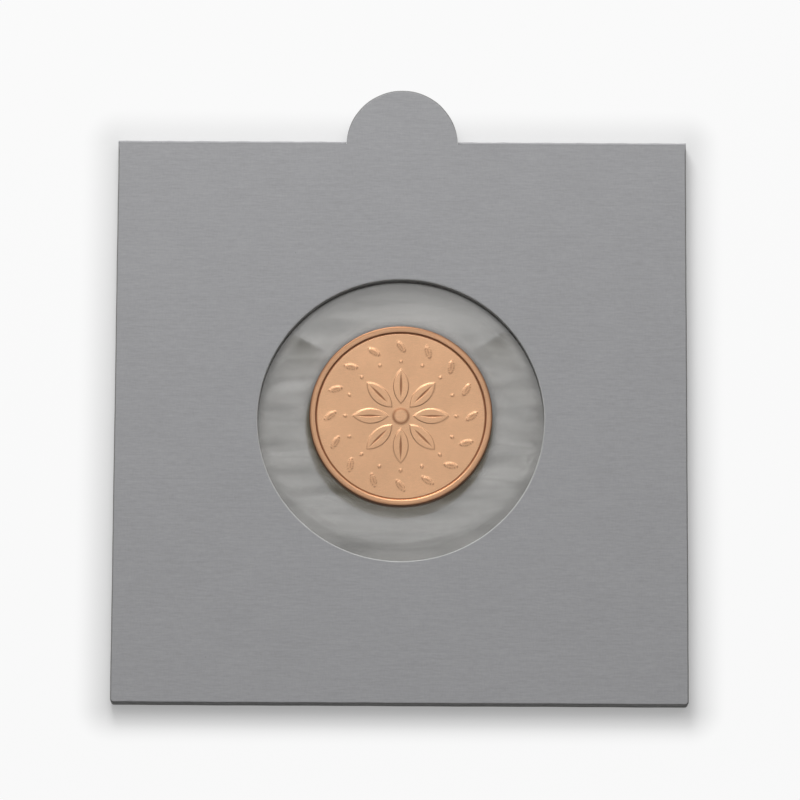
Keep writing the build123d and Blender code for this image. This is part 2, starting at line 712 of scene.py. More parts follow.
def flat_faces(loops: Sequence[np.ndarray], starts: Sequence[int]) -> list[Face]:
    """Triangles of a flat face with holes, counter-clockwise seen from +Z.

    Args:
        loops: outer loop and then the holes, as rows of X and Y.
        starts: index of each loop's first point in the mesh.

    Returns:
        The faces.
    """
    flat = np.vstack(loops)
    index = [start + i for start, loop in zip(starts, loops) for i in range(len(loop))]
    faces = []
    for a, b, c in tessellate_polygon([[(x / MM, y / MM, 0.0) for x, y in loop] for loop in loops]):
        (ax, ay), (bx, by), (cx, cy) = flat[a], flat[b], flat[c]
        turn = (bx - ax) * (cy - ay) - (by - ay) * (cx - ax)
        faces.append(tuple(index[i] for i in ((a, b, c) if turn > 0 else (a, c, b))))
    return faces


def add_piece(name: str, points: np.ndarray, faces: list[Face], finishes: Iterable[Material],
              skins: Sequence[int] | None = None, flat_from: int | None = None) -> Piece:
    """Makes a mesh object at the origin, with its place in its points.

    Args:
        name: the piece's name.
        points: rows of X, Y and Z in metres.
        faces: point indices of each face.
        finishes: the piece's materials.
        skins: index of the material of each face.
        flat_from: faces from this index on are shaded flat.

    Returns:
        The object.
    """
    mesh = bpy.data.meshes.new(name)
    mesh.from_pydata([tuple(point) for point in points], [], faces)
    for finish in finishes:
        mesh.materials.append(finish)
    if skins is not None:
        mesh.polygons.foreach_set("material_index", np.array(skins, dtype=np.int32))
    smooth = np.ones(len(faces), dtype=bool)
    if flat_from is not None:
        smooth[flat_from:] = False
    mesh.polygons.foreach_set("use_smooth", smooth)
    mesh.validate()
    mesh.update()
    piece = bpy.data.objects.new(name, mesh)
    bpy.context.scene.collection.objects.link(piece)
    return piece


class ShapeBench(Bench):
    """Bench of a geometry tree, whose inputs have the names, kinds and values of a dictionary."""

    KINDS = {
        float: "NodeSocketFloat",
        int: "NodeSocketInt",
        Vector: "NodeSocketVector",
        Material: "NodeSocketMaterial",
    }
    SEED_STEP = 101.0

    def __init__(self, name: str, inputs: dict[str, object]) -> None:
        """Starts the tree.

        Args:
            name: the tree's name.
            inputs: value of each named input.
        """
        super().__init__(bpy.data.node_groups.new(name, "GeometryNodeTree"))
        for way in ("INPUT", "OUTPUT"):
            self.tree.interface.new_socket("Geometry", in_out=way, socket_type="NodeSocketGeometry")
        self.values: dict[str, object] = {}
        for label, value in inputs.items():
            kind = self.KINDS[type(value)]
            socket = self.tree.interface.new_socket(label, in_out="INPUT", socket_type=kind)
            self.values[socket.identifier] = value
        source = self.add("NodeGroupInput")
        self.shape = source.outputs["Geometry"]
        self.given = {label: self.signal(source, label) for label in inputs}
        self.place = self.add("GeometryNodeInputPosition")

    def random(self, span: Spot, draw: int) -> Signal:
        """An evenly spread random number for each point, with its own number of the draw."""
        feeds = {"Min_001": span[0], "Max_001": span[1], "Seed": self.given["Seed"] + self.SEED_STEP * draw}
        return self.signal(self.add("FunctionNodeRandomValue", feeds, data_type="FLOAT"), "Value_001")

    def store(self, shape: object, name: str, value: Signal) -> Node:
        """Stores a number at each point of a shape."""
        feeds = {"Geometry": shape, "Name": name, "Value": value}
        return self.add("GeometryNodeStoreNamedAttribute", feeds, data_type="FLOAT", domain="POINT")

    def moved(self, shape: object, offset: object) -> Node:
        """Moves the points of a shape."""
        return self.add("GeometryNodeSetPosition", {"Geometry": shape, "Offset": offset})

    def run(self, piece: Piece, shape: Node, finish: str) -> None:
        """Ends the tree, runs it on a piece and keeps the result as its plain mesh.

        Args:
            piece: the object that carries the tree.
            shape: the node that gives the finished geometry.
            finish: name of the input that holds the material.
        """
        real = self.add("GeometryNodeRealizeInstances", {"Geometry": shape})
        dressed = self.add("GeometryNodeSetMaterial", {"Geometry": real, "Material": self.given[finish]})
        self.add("NodeGroupOutput", {"Geometry": dressed})
        modifier = piece.modifiers.new(self.tree.name, "NODES")
        modifier.node_group = self.tree
        for identifier, value in self.values.items():
            modifier[identifier] = value
        graph = bpy.context.evaluated_depsgraph_get()
        made = bpy.data.meshes.new_from_object(piece.evaluated_get(graph), depsgraph=graph)
        piece.modifiers.remove(modifier)
        flat = piece.data
        piece.data = made
        bpy.data.meshes.remove(flat)
        made.name = piece.name


@dataclass
class CardPanel:
    """One card panel: die-cut outline, punched window, rolled outer edges and a square inner side."""

    side: Side
    layout: Layout
    edge_roll: float = 0.17 * MM
    edge_drop: float = 0.13 * MM
    window_roll: float = 0.13 * MM
    window_drop: float = 0.11 * MM
    inner_ease: float = 0.03 * MM
    ease_share: float = 0.3
    flat_run: float = 1.15
    wander: float = 0.022 * MM
    edge_waves: tuple[Triple, ...] = ((0.25, 0.61, 0.0), (0.25, 0.173, 1.3))
    rim_wander: float = 0.6
    rim_waves: tuple[Triple, ...] = ((0.3, 9.0, 0.4), (0.2, 23.0, 0.0))
    line_step: float = 0.5 * MM
    corner_steps: int = 8
    roll_steps: int = 8
    wall_strips: int = 3
    tab_steps: int = 72
    tab_fade: float = 6.0
    window_steps: int = 300
    fold_roll: float = 0.03
    sharpest: float = 0.6

    def line(self, start: Triple, end: Triple) -> np.ndarray:
        """Straight stretch of the outline without its last point.

        Args:
            start: X, Y and roll of its first point.
            end: X, Y and roll of its last point.

        Returns:
            Rows of X, Y and roll.
        """
        count = max(2, int(math.dist(start[:2], end[:2]) / self.line_step))
        first, last = np.array(start), np.array(end)
        return first + (last - first) * (np.arange(count) / count)[:, None]

    def arc(self, centre: Spot, radius: float, turns: Spot, count: int, ends: float) -> np.ndarray:
        """Arc of the outline without its last point, its edge rolled less at the ends.

        Args:
            centre: X and Y of its middle.
            radius: in metres.
            turns: its first and last angle, in degrees.
            count: number of points.
            ends: roll at the ends.

        Returns:
            Rows of X, Y and roll.
        """
        share = np.arange(count) / count
        turn = np.radians(turns[0] + (turns[1] - turns[0]) * share)
        near = np.minimum(1.0, self.tab_fade * np.minimum(share, 1.0 - share))
        x, y = centre[0] + radius * np.cos(turn), centre[1] + radius * np.sin(turn)
        return np.column_stack([x, y, ends + (1.0 - ends) * near])

    def outline(self) -> np.ndarray:
        """Samples the panel's outline, counter-clockwise from the free edge.

        Returns:
            Rows of X, Y and how far the edge is rolled there, from 0 to 1.
        """
        plan, soft = self.layout, self.fold_roll
        cut, sweep = (plan.tab_radius, 180.0) if self.side is Side.FRONT else (plan.notch_radius, -180.0)
        half, fold_y, inset = plan.half_side, plan.fold_edge_y, plan.half_side - plan.free_corner
        right = [(half, -inset, 1.0), (half, fold_y - plan.card, 1.0)]
        right += [(half, fold_y, soft), (cut, fold_y, soft)]
        left = [(-x, y, roll) for x, y, roll in reversed(right)]
        rows = [self.line((-inset, -half, 1.0), (inset, -half, 1.0))]
        rows += [self.arc((inset, -inset), plan.free_corner, (-90.0, 0.0), self.corner_steps, 1.0)]
        rows += [self.line(*ends) for ends in zip(right, right[1:])]
        rows += [self.arc((0.0, plan.score_y), cut, (0.0, sweep), self.tab_steps, soft)]
        rows += [self.line(*ends) for ends in zip(left, left[1:])]
        rows += [self.arc((-inset, -inset), plan.free_corner, (180.0, 270.0), self.corner_steps, 1.0)]
        return np.vstack(rows)

    def inward(self, points: np.ndarray) -> np.ndarray:
        """Inward directions of a closed outline, lengthened at its corners.

        Args:
            points: rows of X and Y, counter-clockwise.

        Returns:
            Rows of X and Y.
        """
        edge = np.roll(points, -1, axis=0) - points
        edge /= np.linalg.norm(edge, axis=1)[:, None]
        normal = np.column_stack([-edge[:, 1], edge[:, 0]])
        middle = normal + np.roll(normal, 1, axis=0)
        middle /= np.linalg.norm(middle, axis=1)[:, None]
        return middle / np.maximum((middle * normal).sum(axis=1), self.sharpest)[:, None]

    def section(self, roll: float, drop: float) -> list[Spot]:
        """Edge section from the inner face to the outer face.

        Args:
            roll: width of the rolled outer edge.
            drop: depth of the rolled outer edge.

        Returns:
            Pairs of setback and height above the inner face.
        """
        ease, wall = self.inner_ease, self.layout.card - drop
        bottom = [(ease, 0.0), (self.ease_share * ease, self.ease_share * ease), (0.0, ease)]
        turns = quarter_turn(self.roll_steps)
        top = [(roll * (1.0 - math.cos(turn)), wall + drop * math.sin(turn)) for turn in turns]
        return bottom + top + [(self.flat_run * roll, self.layout.card)]

    def rings(self) -> tuple[list[np.ndarray], list[np.ndarray]]:
        """Rings of the outline and then of the window, from the inner to the outer face.

        Returns:
            X and Y of each ring's points, and their heights above the inner face.
        """
        card, rows = self.layout.card, self.outline()
        outer, rolls = rows[:, :2], rows[:, 2]
        inward = self.inward(outer)
        waves = uneven(np.arange(len(rows)), self.edge_waves)
        outer = outer + inward * (self.wander * waves * rolls)[:, None]
        lean = np.maximum(rolls, self.fold_roll)
        rim = circle(1.0, self.window_steps)
        turn = np.arange(self.window_steps) * 2 * math.pi / self.window_steps
        rim_radius = self.layout.window_radius + self.rim_wander * self.wander * uneven(turn, self.rim_waves)
        rings, rises = [], []
        for setback, height in self.section(self.edge_roll, self.edge_drop):
            rings.append(outer + inward * (setback * lean)[:, None])
            rises.append(card - (card - height) * lean if height > card / 2 else np.full(len(rows), height))
        for setback, height in self.section(self.window_roll, self.window_drop):
            rings.append(rim * (rim_radius + setback)[:, None])
            rises.append(np.full(self.window_steps, height))
        return rings, rises

    def skin(self, strip: int, on_edge: bool) -> Skin:
        """Finish of one strip of an edge section.

        Args:
            strip: its number, from the inner face.
            on_edge: whether it runs round the outline and not round the window.

        Returns:
            The finish.
        """
        if strip > self.roll_steps:
            return Skin.FACE
        if not on_edge:
            return Skin.CUT
        # On the outline, the wall and the rolled edge take the darker tones of painted shade.
        return Skin.WALL if strip < self.wall_strips else Skin.ROLL

    def build(self, finishes: Finishes) -> Piece:
        """Builds and dresses the panel.

        Args:
            finishes: the part's materials.

        Returns:
            The panel, riding on its half.
        """
        up, (rings, rises) = self.side.up, self.rings()
        level = self.layout.mid_z + up * (self.layout.thickness / 2 - self.layout.card)
        points = np.vstack([np.column_stack([ring, level + up * rise]) for ring, rise in zip(rings, rises)])
        starts = np.cumsum([0] + [len(ring) for ring in rings]).tolist()
        count = len(rings) // 2
        faces: list[Face] = []
        skins: list[Skin] = []
        for first in (*range(count - 1), *range(count, 2 * count - 1)):
            strip = ring_faces(starts[first], starts[first + 1], len(rings[first]))
            faces += strip if first < count else flipped(strip)
            skins += [self.skin(first % count, first < count)] * len(strip)
        flat_from = len(faces)
        low, high = (flat_faces(rings[i::count], starts[i:-1:count]) for i in (0, count - 1))
        faces += high + flipped(low)
        skins += [Skin.FACE] * (len(high) + len(low))
        if self.side is Side.BACK:
            faces = flipped(faces)
        name = f"{self.side.value}_panel"
        panel = add_piece(name, points, faces, finishes.board.values(), skins, flat_from)
        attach(panel, self.side.body)
        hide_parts(f"{self.side.value}_card")
        return panel


@dataclass
class FoldCrease:
    """Folded strips of the board on both sides of the tab, bent about the score line."""

    layout: Layout
    outer_round: float = 0.24 * MM
    step: float = 0.4 * MM
    round_steps: int = 6
    inner_shares: tuple[float, ...] = (1.0, 0.85, 0.7, 0.5, 0.3, 0.15)
    outer_shares: Triple = (0.25, 0.5, 0.75)
    crush: float = 0.05 * MM
    dents: tuple[Triple, ...] = ((0.3, 1.9, 0.0), (0.2, 4.7, 0.6))
    tab_slit: float = 0.03 * MM
    bend_shares: Spot = (0.20, 0.80)

    def section(self, reach: float) -> list[Spot]:
        """Closed section of the strip.

        Args:
            reach: how far the fold stands out past the score line.

        Returns:
            Pairs of distance past the score line and height.
        """
        top = self.layout.thickness
        lip = self.layout.fold_edge_y - self.layout.score_y
        radius = min(self.outer_round, reach)
        turns = quarter_turn(self.round_steps)
        low = [(reach - radius + radius * math.sin(a), radius - radius * math.cos(a)) for a in turns]
        side = [(reach, radius + (top - 2 * radius) * share) for share in self.outer_shares]
        high = [(out, top - height) for out, height in reversed(low)]
        return [(lip, 0.0)] + low + side + high + [(lip, top * share) for share in self.inner_shares]

    def build(self, finishes: Finishes) -> Piece:
        """Builds both strips as one piece.

        Args:
            finishes: the part's materials.

        Returns:
            The strips.
        """
        plan = self.layout
        full = plan.half_side - plan.score_y
        start, end = plan.tab_radius + self.tab_slit, plan.half_side
        count = int((end - start) / self.step)
        points: list[Triple] = []
        faces: list[Face] = []
        skins: list[Skin] = []
        for sign in (1.0, -1.0):
            base = len(points)
            for i in range(count + 1):
                x = sign * (start + (end - start) * i / count)
                ring = self.section(full - self.crush * uneven(x / MM, self.dents))
                points += [(x, plan.score_y + out, height) for out, height in ring]
            rings = [base + i * len(ring) for i in range(count + 1)]
            strips = [face for pair in zip(rings, rings[1:]) for face in ring_faces(*pair, len(ring))]
            caps = [tuple(range(first, first + len(ring))) for first in (rings[0], rings[-1])]
            skins += [Skin.FACE] * len(strips) + [Skin.CUT] * len(caps)
            strips += [caps[0], caps[1][::-1]]
            faces += strips if sign < 0 else flipped(strips)
        boards = [finishes.board[skin] for skin in (Skin.FACE, Skin.CUT)]
        piece = add_piece("fold_strips", np.array(points), faces, boards, skins)
        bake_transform(piece)
        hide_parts("fold_crease")
        return piece


@dataclass(frozen=True)
class Pleat:
    """One soft wrinkle of the film: a bowed ridge, or a furrow if its height is negative, in millimetres.

    Its flank on the left of its run is wider than the right one by the factor gentle. A creased one comes to
    an edge along its crest.
    """

    start: Spot
    end: Spot
    bow: float
    width: float
    height: float
    gentle: float = 1.0
    creased: bool = False
    fade_in: Spot = (-0.05, 0.35)
    fade_out: Spot = (1.05, 0.65)

    def ridge(self, bench: Bench, x: Signal, y: Signal) -> Signal:
        """Height of the wrinkle over the sheet.

        Args:
            bench: the tree's bench.
            x: X in millimetres.
            y: Y in millimetres.

        Returns:
            The height, in millimetres.
        """
        run_x, run_y = self.end[0] - self.start[0], self.end[1] - self.start[1]
        length = math.hypot(run_x, run_y)
        along_x, along_y = run_x / length, run_y / length
        off_x, off_y = x - self.start[0], y - self.start[1]
        along = (off_x * along_x + off_y * along_y) / length
        across = off_y * along_x - off_x * along_y
        away = (across - along * (1.0 - along) * (4.0 * self.bow)) / self.width
        away = (away / self.gentle).most(away * -1.0)
        crest = bench.math("EXPONENT", (away if self.creased else away * away) * -1.0)
        return crest * (bench.ramp(along, *self.fade_in) * bench.ramp(along, *self.fade_out)) * self.height


@dataclass
class WindowFilm:
    """Clear film inside one panel, drawn up over the coin and wrinkled where it is stretched.

    The sizes of the sheet are in metres. Those of the drawing are in millimetres, and its ramps lie along Y,
    or from the coin's rim, or from the film's foot at the window.
    """

    side: Side
    layout: Layout
    thickness: float = 0.05 * MM
    lip: float = 0.15 * MM
    fine_margin: float = 0.50 * MM
    crown_inset: float = 0.45 * MM
    crown_rings: int = 12
    ring_count: int = 66
    turn_count: int = 560
    notch_steps: int = 40
    foot_radius: float = 12.25
    low_foot_radius: float = 11.30
    foot_span: Spot = (-12.0, -4.0)
    side_slope: float = 1.15
    fold_slope: float = 1.10
    slope_span: Spot = (4.0, 9.0)
    cloth_shift: Spot = (4.7, 5.9)
    slack: Ramp = (8.0, 4.5, 0.05, 1.0)
    least_run: float = 0.001
    ripple_height: float = 0.110
    ripple_grain: Grain = Grain((9.0, 2.2, 5.0), 0.0)
    ripple_run: Spot = (0.0, 2.0)
    streak_height: float = 0.075
    streak_grain: Grain = Grain((7.0, 1.2, 5.0), 0.4)
    streak_run: Spot = (0.0, 1.0)
    coin_hold: Spot = (-0.4, 1.0)
    foot_hold: Spot = (0.0, 0.8)
    haze_start: float = -0.1
    # Haze stays off within 0.6 mm of the coin, where the film is held clear, and within 1.6 mm below it as a
    # painted shadow.
    haze_reach: Ramp = (-3.0, -7.0, 0.6, 1.6)
    foot_haze: Ramp = (-0.2, 0.8, 0.55, 1.0)
    fold_haze: Ramp = (9.5, 6.0, 0.60, 1.0)
    even_haze: float = 0.45
    even_span: Spot = (12.9, 12.5)
    # Painted shadow of the coin on the back film: its strength, offset, edge and where it stops at the coin.
    coin_shade: float = 0.60
    shadow_shift: Spot = (-0.15, -0.75)
    shadow_edge: Spot = (0.20, -0.20)
    shadow_top: Spot = (-0.6, -0.1)
    # Strength of the painted dark wedges on the back film.
    wedge_shade: float = 0.16
    wedge_foot: Spot = (-0.2, 0.3)
    wrinkles: tuple[Pleat, ...] = (
        Pleat((-12.8, 4.6), (-6.2, 5.6), 0.3, 0.50, 0.030, 1.5),
        Pleat((6.2, 5.6), (12.8, 4.6), 0.3, 0.50, 0.030, 1.5),
        Pleat((-13.4, -3.2), (-6.0, -3.0), -0.1, 0.35, -0.050),
        Pleat((6.8, -2.0), (13.4, -2.7), 0.1, 0.35, 0.050),
        Pleat((6.4, -5.0), (12.4, -5.4), -0.2, 0.40, -0.050),
        Pleat((-7.5, -9.3), (7.5, -9.3), -1.7, 0.90, -0.060),
        Pleat((-10.4, 7.5), (10.4, 7.4), 2.95, 1.50, -0.035, 1.0, True),
        Pleat((-9.95, 7.94), (-6.2, 5.87), 0.0, 1.80, 0.100, 1.4, True),
        Pleat((9.5, 8.25), (6.1, 6.10), 0.0, 2.40, 0.140, 0.7, True),
        Pleat((10.6, -4.9), (12.0, -2.6), 0.2, 0.16, 0.060),
        Pleat((10.5, -3.2), (11.6, -4.3), 0.1, 0.15, -0.045),
    )
    # Two dark wedges beside the coin, painted: less haze there and painted shade on the back film. They take
    # a wrinkle's shape, and their heights are weights.
    painted_wedge_spots: tuple[Pleat, ...] = (
        Pleat((-12.4, 9.29), (-6.2, 5.87), 0.0, 2.00, 1.0, 0.05),
        Pleat((6.1, 6.10), (12.4, 10.08), 0.0, 2.10, 0.8, 0.05),
    )

    def sheet(self, finish: Material) -> Piece:
        """Makes the flat closed sheet, finely divided inside the window.

        Args:
            finish: the film's material.

        Returns:
            The flat sheet.
        """
        plan, up, turns = self.layout, self.side.up, self.turn_count
        reach, crown = plan.window_radius + self.fine_margin, plan.coin_radius - self.crown_inset
        radii = [*np.linspace(0.0, crown, self.crown_rings + 1)[1:]]
        radii += [*np.linspace(crown, reach, self.ring_count + 1)[1:]]
        border = self.border()
        flat = np.vstack([[(0.0, 0.0)]] + [circle(radius, turns) for radius in radii] + [border])
        starts = [1 + i * turns for i in range(len(radii) + 1)]
        fine: list[Face] = [(0, 1 + i, 1 + (i + 1) % turns) for i in range(turns)]
        for pair in zip(starts, starts[1:-1]):
            fine += flipped(ring_faces(*pair, turns))
        skirt = flat_faces([border, circle(reach, turns)], [starts[-1], starts[-2]])
        inner = plan.mid_z + up * (plan.film_low.z - plan.mid_z)
        levels = (inner, inner + up * self.thickness)
        points = np.vstack([np.column_stack([flat, np.full(len(flat), level)]) for level in levels])
        shell: list[Face] = []
        for part in (fine, skirt):
            flat_from = len(shell)
            shell += flipped(part) + [tuple(len(flat) + i for i in face) for face in part]
        shell += ring_faces(starts[-1], len(flat) + starts[-1], len(border))
        if self.side is Side.BACK:
            shell = flipped(shell)
        return add_piece(f"{self.side.value}_window_film", points, shell, (finish,), flat_from=flat_from)

    def border(self) -> np.ndarray:
        """Outline of the sheet, cut back round the notch on the back half.

        Returns:
            Rows of X and Y, counter-clockwise.
        """
        plan, low, high = self.layout, self.layout.film_low, self.layout.film_high
        corners = [(low.x, low.y), (high.x, low.y), (high.x, high.y)]
        if self.side is Side.BACK:
            radius = plan.notch_radius + plan.film_notch_gap
            dip = math.asin((plan.score_y - high.y) / radius)
            turns = np.linspace(-dip, dip - math.pi, self.notch_steps)
            corners += [(radius * math.cos(a), plan.score_y + radius * math.sin(a)) for a in turns]
        return np.array(corners + [(low.x, high.y)])

    def drawn(self, bench: ShapeBench) -> Node:
        """Draws the flat sheet up over the coin, wrinkles it and stores where it is hazy and where shade is
        painted.

        Args:
            bench: the tree's bench.

        Returns:
            The node that gives the drawn sheet.
        """
        given, up = bench.given, bench.given["Direction"]
        x, y, _ = bench.split(bench.scaled(bench.place, 1.0 / MM))
        coin_y, coin_radius = given["Coin Y"], given["Coin Radius"]
        from_coin = x.hypot(y - coin_y) - coin_radius
        foot = bench.ramp(y, *self.foot_span, given["Low Foot Radius"], given["Foot Radius"])
        from_foot = foot - x.hypot(y)
        outside = from_coin.most(0.0)
        share = (outside / (outside + from_foot.most(0.0) + self.least_run)).least(1.0)
        bend = bench.ramp(y, *self.slope_span, given["Side Slope"], given["Fold Slope"])
        height = bench.math("POWER", 1.0 - share, bend) * given["Rise"]
        folds = sum(pleat.ridge(bench, x, y) for pleat in self.wrinkles)
        shift = bench.joined(*(up * shift * MM for shift in self.cloth_shift))
        cloth = bench.vector("ADD", bench.place, shift)
        slack = bench.ramp(y, *self.slack)
        ripple = bench.ramp(from_foot, *self.ripple_run) * slack * given["Ripple"]
        folds = folds + bench.noise(cloth, self.ripple_grain) * ripple
        streak = bench.ramp(from_foot, *self.streak_run) * slack * given["Streak"]
        folds = folds + bench.noise(cloth, self.streak_grain) * streak
        free = bench.ramp(from_coin, *self.coin_hold) * bench.ramp(from_foot, *self.foot_hold)
        inside = bench.math("GREATER_THAN", from_foot, 0.0)
        height = ((height + folds * free) * inside).most(0.0)
        # Clear is the weight of the painted dark wedges. The haze is left off round the coin, wider below it
        # as a painted shadow, and on the wedges.
        clear = sum(spot.ridge(bench, x, y) for spot in self.painted_wedge_spots)
        haze = bench.ramp(from_coin, self.haze_start, bench.ramp(y, *self.haze_reach))
        haze = haze * bench.ramp(from_foot, *self.foot_haze) * bench.ramp(y, *self.fold_haze)
        haze = haze * (1.0 - clear).most(0.0)
        haze = self.even_haze + (haze - self.even_haze) * bench.ramp(x.hypot(y), *self.even_span)
        # Painted shadow of the coin, offset down and left from it, and the painted dark wedges.
        shift_x, shift_y = self.shadow_shift
        from_shadow = (x - shift_x).hypot(y - coin_y - shift_y) - coin_radius
        shade = bench.ramp(from_shadow, *self.shadow_edge) * given["Coin Shade"]
        shade = shade * bench.ramp(from_coin, *self.shadow_top)
        shade = shade.most(clear * given["Wedge Shade"] * bench.ramp(from_foot, *self.wedge_foot))
        hazed = bench.store(bench.shape, ClearFilm.haze_mask_with_painted_shade, haze)
        shaded = bench.store(hazed, ClearFilm.shade_mask, shade)
        return bench.moved(shaded, bench.joined(z=height * up * MM))

    def build(self, finishes: Finishes) -> Piece:
        """Builds and dresses the film.

        Args:
            finishes: the part's materials.

        Returns:
            The film, riding on its half.
        """
        plan, finish = self.layout, finishes.films[self.side]
        # Only the back film gets the painted shadow and the painted wedges.
        shaded = 1.0 if self.side is Side.BACK else 0.0
        film = self.sheet(finish)
        bench = ShapeBench(f"{self.side.value}_film_drawing", {
            "Film": finish,
            "Rise": (plan.film_high.z - plan.film_low.z - self.thickness) / MM,
            "Coin Radius": (plan.coin_radius + self.lip) / MM,
            "Coin Y": plan.coin_centre.y / MM,
            "Foot Radius": self.foot_radius,
            "Low Foot Radius": self.low_foot_radius,
            "Side Slope": self.side_slope,
            "Fold Slope": self.fold_slope,
            "Ripple": self.ripple_height,
            "Streak": self.streak_height,
            "Coin Shade": self.coin_shade * shaded,
            "Wedge Shade": self.wedge_shade * shaded,
            "Direction": self.side.up,
        })
        bench.run(film, self.drawn(bench), "Film")
        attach(film, self.side.body)
        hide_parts(f"{self.side.value}_film")
        return film


@dataclass
class RimFibres:
    """Short pulp fibres that stand out of the punched window's wall."""

    side: Side
    layout: Layout
    count: int = 240
    length: float = 0.26 * MM
    radius: float = 0.007 * MM
    curl: Spot = (0.5, 0.18)
    root_gap: float = 0.01 * MM
    root_depth: float = 0.75
    root_spread: float = 0.5
    ring_steps: int = 180
    fibre_steps: int = 4
    fibre_sides: int = 3
    swing: Spot = (-1.2, 1.2)
    tilt: Spot = (-0.25, 0.35)
    roll: Spot = (-3.1, 3.1)
    size: Spot = (0.35, 1.0)
    seed: int = 7

    def spread(self, bench: ShapeBench) -> Node:
        """Sets the fibres round the window.

        Args:
            bench: the tree's bench.

        Returns:
            The node that gives the fibres.
        """
        given, reach = bench.given, bench.given["Fibre Length"]
        loops = []
        for steps, radius in ((self.ring_steps, "Window Radius"), (self.fibre_sides, "Fibre Radius")):
            feeds = {"Resolution": steps, "Radius": given[radius]}
            loops.append(bench.add("GeometryNodeCurvePrimitiveCircle", feeds, mode="RADIUS"))
        feeds = {"Curve": loops[0], "Count": given["Count"]}
        roots = bench.add("GeometryNodeCurveToPoints", feeds, mode="COUNT")
        depth = bench.random((0.0, 1.0), 1) * given["Depth"]
        placed = bench.moved(roots.outputs["Points"], bench.joined(z=given["Level"] + depth))
        middle = bench.joined(*(reach * share for share in self.curl))
        feeds = {"Resolution": self.fibre_steps, "Middle": middle, "End": bench.joined(reach)}
        line = bench.add("GeometryNodeCurveQuadraticBezier", feeds | {"Start": (0.0, 0.0, 0.0)})
        feeds = {"Curve": line, "Profile Curve": loops[1], "Fill Caps": True}
        fibre = bench.add("GeometryNodeCurveToMesh", feeds)
        x, y, _ = bench.split(bench.place)
        heading = bench.math("ARCTAN2", y, x) + math.pi + bench.random(self.swing, 2)
        tilt, roll = bench.random(self.tilt, 3), bench.random(self.roll, 4)
        feeds = {"Points": placed, "Instance": fibre, "Rotation": bench.joined(roll, tilt, heading)}
        return bench.add("GeometryNodeInstanceOnPoints", feeds | {"Scale": bench.random(self.size, 5)})

    def build(self, finishes: Finishes) -> Piece:
        """Builds and dresses the fibres.

        Args:
            finishes: the part's materials.

        Returns:
            The fibres, riding on their half.
        """
        plan, up, pulp = self.layout, self.side.up, finishes.board[Skin.CUT]
        fibres = add_piece(f"{self.side.value}_rim_fibres", np.zeros((1, 3)), [], (pulp,))
        bench = ShapeBench(f"{self.side.value}_fibre_ring", {
            "Pulp": pulp,
            "Count": self.count,
            "Window Radius": plan.window_radius + self.root_gap,
            "Level": plan.mid_z + up * (plan.thickness / 2 - self.root_depth * plan.card),
            "Depth": up * self.root_spread * plan.card,
            "Fibre Length": self.length,
            "Fibre Radius": self.radius,
            "Seed": self.seed,
        })
        bench.run(fibres, self.spread(bench), "Pulp")
        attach(fibres, self.side.body)
        return fibres


@dataclass(frozen=True)
class Leaf:
    """One leaf of a ring of pointed leaves on the coin, in millimetres and degrees."""

    middle: float
    tilt: float
    length: float
    width: float
    soft: float = 0.09
    soft_span: Spot = (-0.3, 0.7)
    vein: Union["Leaf", None] = None
    vein_depth: float = 0.0


@dataclass
class FaceGrid:
    """Radius and angle on the coin's faces, which its rings of ornament are drawn on."""

    bench: ShapeBench
    radius: Signal
    angle: Signal

    def sector(self, count: Signal, middle: float) -> tuple[Signal, Signal]:
        """Place within one of the equal sectors of a ring.

        Args:
            count: number of sectors.
            middle: radius of their middles, in millimetres.

        Returns:
            Distances out and aside from the sector's middle.
        """
        width = self.bench.math("DIVIDE", 2 * math.pi, count)
        local = self.angle - width * self.bench.math("ROUND", self.angle / width)
        out = self.radius * self.bench.math("COSINE", local) - middle
        return out, self.radius * self.bench.math("SINE", local)

    def leaves(self, count: Signal, leaf: Leaf) -> Signal:
        """Ring of pointed leaves, soft at the edge, with veins where they have them.

        Args:
            count: number of leaves.
            leaf: their shape.

        Returns:
            1 on a leaf and 0 on the field.
        """
        out, aside = self.sector(count, leaf.middle)
        lean = math.radians(leaf.tilt)
        along = out * math.cos(lean) + aside * math.sin(lean)
        across = aside * math.cos(lean) - out * math.sin(lean)
        arc = (leaf.length**2 + leaf.width**2) / (4 * leaf.width)
        inside = arc - along.hypot(abs(across) + (arc - leaf.width / 2))
        blade = self.bench.ramp(inside, *(share * leaf.soft for share in leaf.soft_span))
        return blade - self.leaves(count, leaf.vein) * leaf.vein_depth if leaf.vein else blade

    def band(self, middle: float, edge: Spot) -> Signal:
        """Plain ring round the coin's axis: 1 in its middle and 0 past its edge."""
        return self.bench.ramp(abs(self.radius - middle), *edge)


